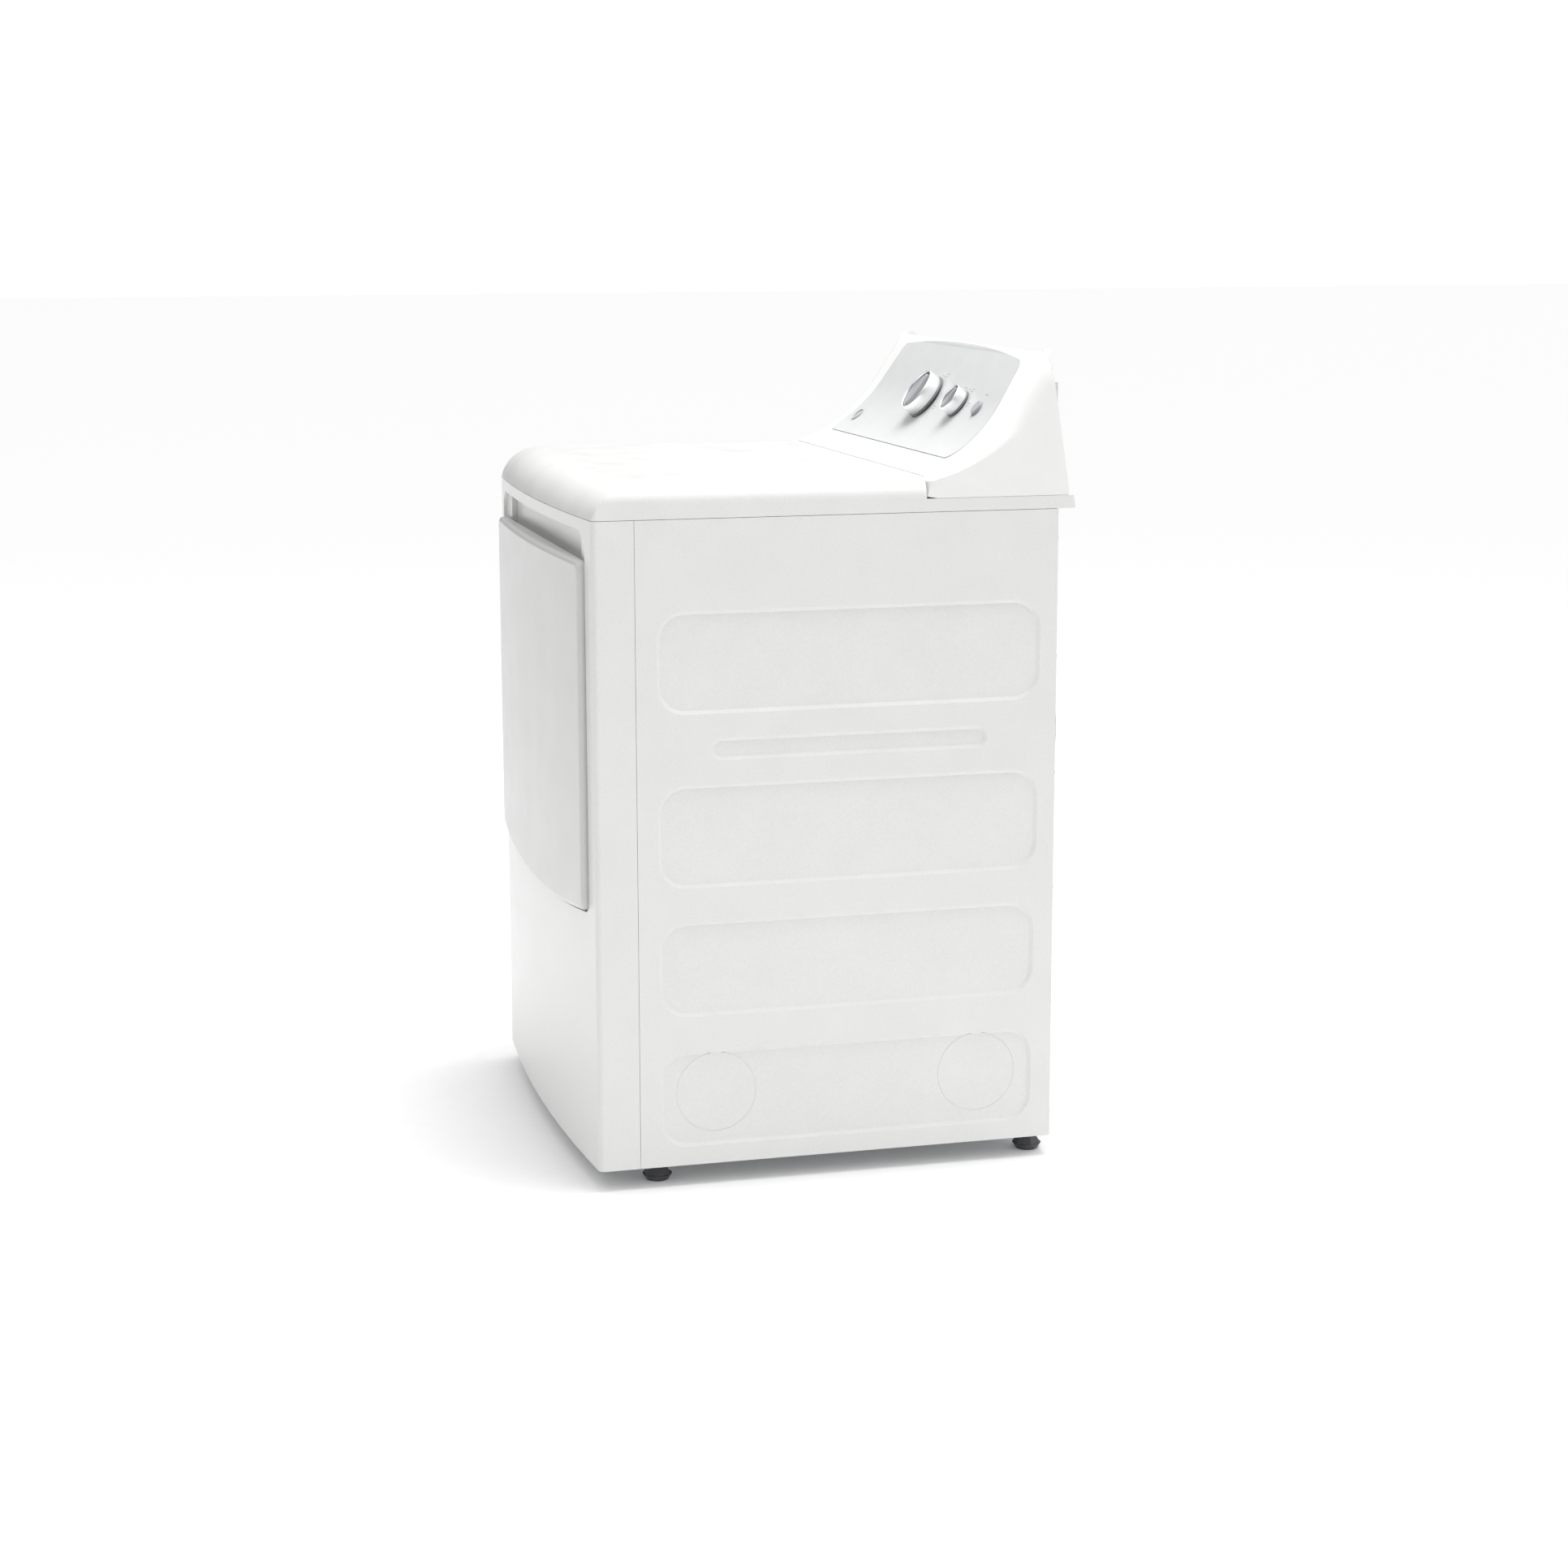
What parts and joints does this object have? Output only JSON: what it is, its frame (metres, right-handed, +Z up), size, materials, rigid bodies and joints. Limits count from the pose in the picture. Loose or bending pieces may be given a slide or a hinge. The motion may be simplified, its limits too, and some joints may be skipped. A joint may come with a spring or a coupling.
{
  "type": "clothes dryer",
  "caption": "Free-standing vented clothes dryer with a front door, a rear console with knobs and a start button, a tumbling drum, belt drive, blower and levelling feet.",
  "frame": {"origin": "on the floor, under the middle of the whole machine", "axes": "+Z up, front faces -Y, +X to the right seen from the front"},
  "size_m": [0.686, 0.7476, 1.11],
  "materials": {
    "painted_steel": "white appliance enamel, semi-gloss",
    "inner_enamel": "white powder coat",
    "galvanised_steel": "spangled zinc coat",
    "zinc_hardware": "bright zinc plate",
    "console_abs": "moulded white ABS",
    "faceplate": "satin printed faceplate",
    "knob_grey": "moulded grey ABS",
    "knob_chrome": "plated ABS ring",
    "switch_nylon": "natural nylon",
    "grey_polypropylene": "moulded talc-filled polypropylene",
    "filter_mesh": "woven polyester mesh",
    "felt": "wool felt",
    "rubber_black": "moulded rubber",
    "foot_black": "black moulded nylon",
    "motor_steel": "dark motor enamel",
    "pulley_steel": "turned steel",
    "bronze": "sintered bronze",
    "heater_wire": "oxidised nichrome wire"
  },
  "bodies": {
    "cabinet": {"base_pan": "galvanised_steel", "corner_brackets": "galvanised_steel", "side_panel_right": "painted_steel", "side_panel_left": "painted_steel", "rear_panel": "galvanised_steel", "rear_screws": "zinc_hardware", "front_panel": "painted_steel", "top_panel": "painted_steel", "front_bulkhead": "inner_enamel", "front_seal": "felt", "drum_slides": "switch_nylon", "trap_duct": "grey_polypropylene", "blower_housing": "grey_polypropylene", "exhaust_duct": "galvanised_steel", "drive_motor": "motor_steel", "motor_bracket": "galvanised_steel", "rear_bearing": "bronze", "bearing_bracket": "galvanised_steel", "heater_housing": "galvanised_steel", "heater_coil": "heater_wire", "heater_frame": "galvanised_steel", "thermostat": "pulley_steel", "terminal_block": "switch_nylon", "drive_belt": "rubber_black", "idler_spring": "zinc_hardware", "frame_hinge_leaves": "zinc_hardware", "hinge_pins": "zinc_hardware", "door_catch": "switch_nylon", "door_switch": "switch_nylon", "console_body": "console_abs", "console_overlay": "faceplate", "console_rear_cover": "painted_steel", "timer": "switch_nylon", "temperature_switch": "switch_nylon", "start_switch": "switch_nylon"},
    "door": {"door_outer_panel": "painted_steel", "door_inner_panel": "inner_enamel", "door_seal": "rubber_black", "door_hinge_leaves": "zinc_hardware", "door_strike": "zinc_hardware"},
    "door_plunger": {"door_switch_plunger": "switch_nylon"},
    "drum": {"drum": "inner_enamel", "baffles": "grey_polypropylene", "drum_shaft": "zinc_hardware"},
    "motor_rotor": {"motor_shaft": "zinc_hardware", "motor_pulley": "pulley_steel", "blower_wheel": "grey_polypropylene"},
    "idler_arm": {"idler_arm": "galvanised_steel"},
    "idler_wheel": {"idler_pulley": "grey_polypropylene"},
    "lint_filter": {"lint_filter_frame": "grey_polypropylene", "lint_filter_screen": "filter_mesh"},
    "timer_knob": {"timer_knob": "knob_grey", "timer_knob_ring": "knob_chrome"},
    "temperature_knob": {"temperature_knob": "knob_grey", "temperature_knob_ring": "knob_chrome"},
    "start_button": {"start_button": "knob_grey"},
    "foot_front_left": {"foot_front_left": "foot_black"},
    "foot_front_right": {"foot_front_right": "foot_black"},
    "foot_rear_left": {"foot_rear_left": "foot_black"},
    "foot_rear_right": {"foot_rear_right": "foot_black"}
  },
  "joints": [
    {"name": "door_swing", "type": "hinge", "parent": "cabinet", "child": "door", "pos_m": [-0.299, -0.35725, 0.6], "axis": [0, 0, -1], "range_deg": [0, 110]},
    {"name": "door_switch_press", "type": "slide", "parent": "cabinet", "child": "door_plunger", "axis": [0, 1, 0], "range_m": [0, 0.004], "stiffness_N_per_m": 300, "springref_m": -0.002},
    {"name": "drum_spin", "type": "hinge", "parent": "cabinet", "child": "drum", "pos_m": [0, -0.01975, 0.559], "axis": [0, 1, 0], "continuous": true},
    {"name": "motor_spin", "type": "hinge", "parent": "cabinet", "child": "motor_rotor", "pos_m": [0.13, -0.14975, 0.152], "axis": [0, 1, 0], "continuous": true},
    {"name": "idler_swing", "type": "hinge", "parent": "cabinet", "child": "idler_arm", "pos_m": [0.255, -0.00975, 0.11], "axis": [0, 1, 0], "range_deg": [-4, 8], "stiffness_Nm_per_rad": 40, "deforming": ["drive_belt", "idler_spring"]},
    {"name": "idler_spin", "type": "hinge", "parent": "idler_arm", "child": "idler_wheel", "pos_m": [0.1883, -0.01975, 0.2197], "axis": [0, 1, 0], "continuous": true},
    {"name": "lint_filter_lift", "type": "slide", "parent": "cabinet", "child": "lint_filter", "axis": [0, 0, 1], "range_m": [0, 0.16]},
    {"name": "timer_turn", "type": "hinge", "parent": "cabinet", "child": "timer_knob", "pos_m": [-0.011, 0.21558, 1.025], "axis": [0, -0.7961, 0.6052], "continuous": true},
    {"name": "temperature_turn", "type": "hinge", "parent": "cabinet", "child": "temperature_knob", "pos_m": [0.1305, 0.21558, 1.025], "axis": [0, -0.7961, 0.6052], "range_deg": [-150, 120]},
    {"name": "start_press", "type": "slide", "parent": "cabinet", "child": "start_button", "axis": [0, 0.7961, -0.6052], "range_m": [0, 0.003], "stiffness_N_per_m": 600, "springref_m": -0.001},
    {"name": "foot_front_left_height", "type": "slide", "parent": "cabinet", "child": "foot_front_left", "axis": [0, 0, -1], "range_m": [0, 0.02]},
    {"name": "foot_front_right_height", "type": "slide", "parent": "cabinet", "child": "foot_front_right", "axis": [0, 0, -1], "range_m": [0, 0.02]},
    {"name": "foot_rear_left_height", "type": "slide", "parent": "cabinet", "child": "foot_rear_left", "axis": [0, 0, -1], "range_m": [0, 0.02]},
    {"name": "foot_rear_right_height", "type": "slide", "parent": "cabinet", "child": "foot_rear_right", "axis": [0, 0, -1], "range_m": [0, 0.02]}
  ],
  "couplings": [
    {"joint": "motor_spin", "follows": "drum_spin", "ratio": 26.877},
    {"joint": "idler_spin", "follows": "drum_spin", "ratio": -9.758}
  ]
}
